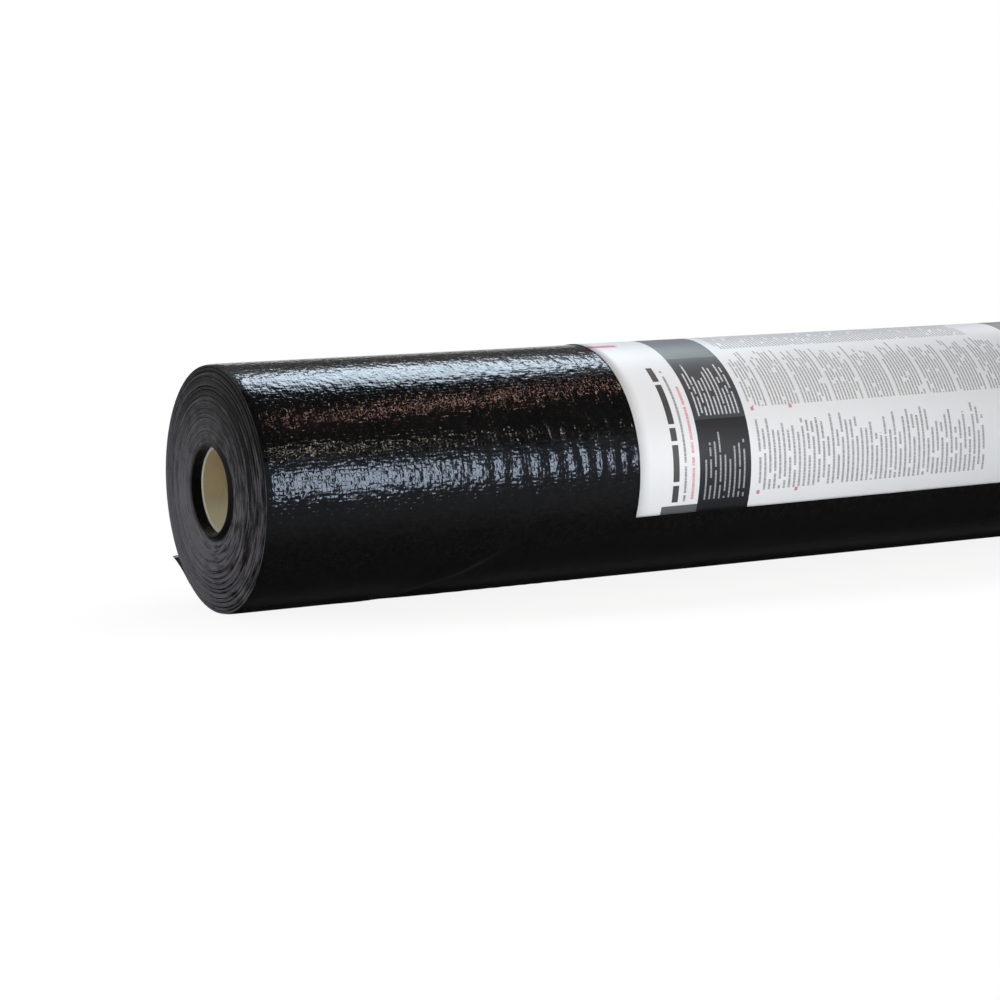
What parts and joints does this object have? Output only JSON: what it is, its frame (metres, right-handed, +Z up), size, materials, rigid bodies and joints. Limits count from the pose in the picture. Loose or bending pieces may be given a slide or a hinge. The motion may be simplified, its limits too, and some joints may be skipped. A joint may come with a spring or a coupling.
{
  "type": "roll of roofing underlayment",
  "caption": "Roll of black woven roofing underlayment wound on a cardboard core, with a printed paper label round its middle; laid on a roof deck under the covering.",
  "frame": {"origin": "on the floor under the roll's axis, half way along the whole object", "axes": "+X along the roll from the near end to the far end, +Z up, -Y the side where the label's lower edge shows"},
  "size_m": [1.2224, 0.153, 0.1527],
  "materials": {
    "membrane": "coated woven sheet, satin gloss",
    "cardboard": "spiral wound board, matt",
    "paper": "smooth printed paper"
  },
  "bodies": {
    "root": {"membrane_roll": "membrane", "core_tube": "cardboard", "label_sheet": "paper"}
  },
  "joints": []
}
